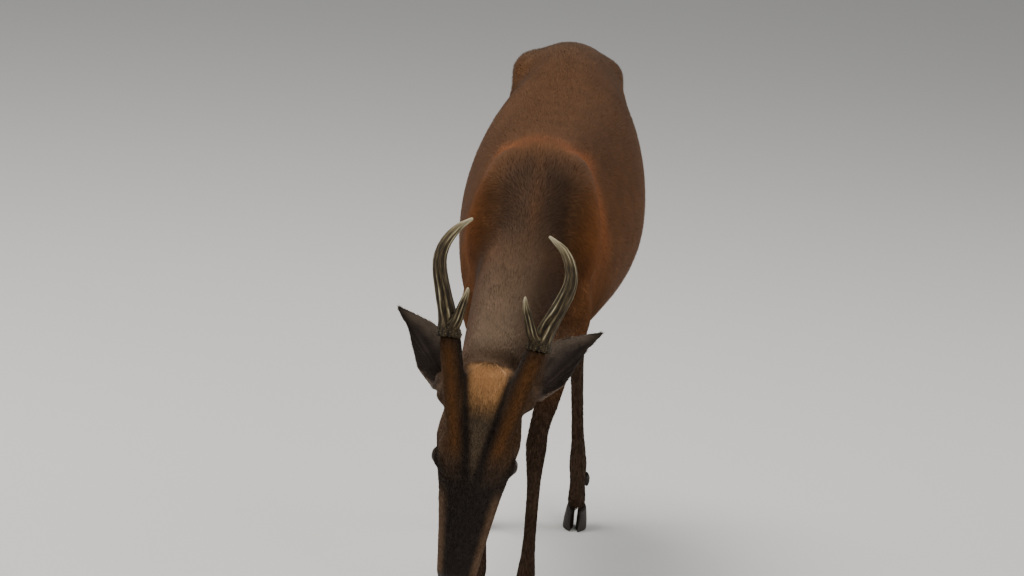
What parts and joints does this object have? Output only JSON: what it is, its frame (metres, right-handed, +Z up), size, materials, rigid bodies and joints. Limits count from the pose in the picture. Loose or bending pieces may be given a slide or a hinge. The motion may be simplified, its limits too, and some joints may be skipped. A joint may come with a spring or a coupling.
{
  "type": "muntjac stag model",
  "caption": "Life-size still model of a muntjac stag on all fours with its head lowered to drink, with short hooked antlers.",
  "frame": {"origin": "middle of the model's footprint box, at the level of the soles", "axes": "+Z up, the stag faces -Y, its left side is +X"},
  "size_m": [0.229, 0.8396, 0.5611],
  "materials": {
    "coat": "short red-brown coat",
    "dark_coat": "short dark brown coat",
    "pale_coat": "soft pale coat",
    "ear_skin": "thin dark skin with fine hair",
    "antler": "grooved bone with polished tips",
    "hoof_horn": "dark horn, satin",
    "eye": "wet dark gloss"
  },
  "bodies": {
    "root": {"antler_beam_left": "antler", "antler_beam_right": "antler", "antler_tine_left": "antler", "antler_tine_right": "antler", "belly": "coat", "chest": "coat", "dewclaw_fore_left_inner": "hoof_horn", "dewclaw_fore_left_outer": "hoof_horn", "dewclaw_fore_right_inner": "hoof_horn", "dewclaw_fore_right_outer": "hoof_horn", "dewclaw_hind_left_inner": "hoof_horn", "dewclaw_hind_left_outer": "hoof_horn", "dewclaw_hind_right_inner": "hoof_horn", "dewclaw_hind_right_outer": "hoof_horn", "ear_left": "ear_skin", "ear_right": "ear_skin", "eye_left": "eye", "eye_right": "eye", "forefoot_left": "dark_coat", "forefoot_right": "dark_coat", "foreleg_lower_left": "dark_coat", "foreleg_lower_right": "dark_coat", "foreleg_upper_left": "coat", "foreleg_upper_right": "coat", "head": "coat", "hindfoot_left": "dark_coat", "hindfoot_right": "dark_coat", "hindleg_lower_left": "dark_coat", "hindleg_lower_right": "dark_coat", "hindleg_upper_left": "coat", "hindleg_upper_right": "coat", "hoof_fore_left_inner": "hoof_horn", "hoof_fore_left_outer": "hoof_horn", "hoof_fore_right_inner": "hoof_horn", "hoof_fore_right_outer": "hoof_horn", "hoof_hind_left_inner": "hoof_horn", "hoof_hind_left_outer": "hoof_horn", "hoof_hind_right_inner": "hoof_horn", "hoof_hind_right_outer": "hoof_horn", "neck": "coat", "rump": "coat", "tail": "pale_coat"}
  },
  "joints": []
}
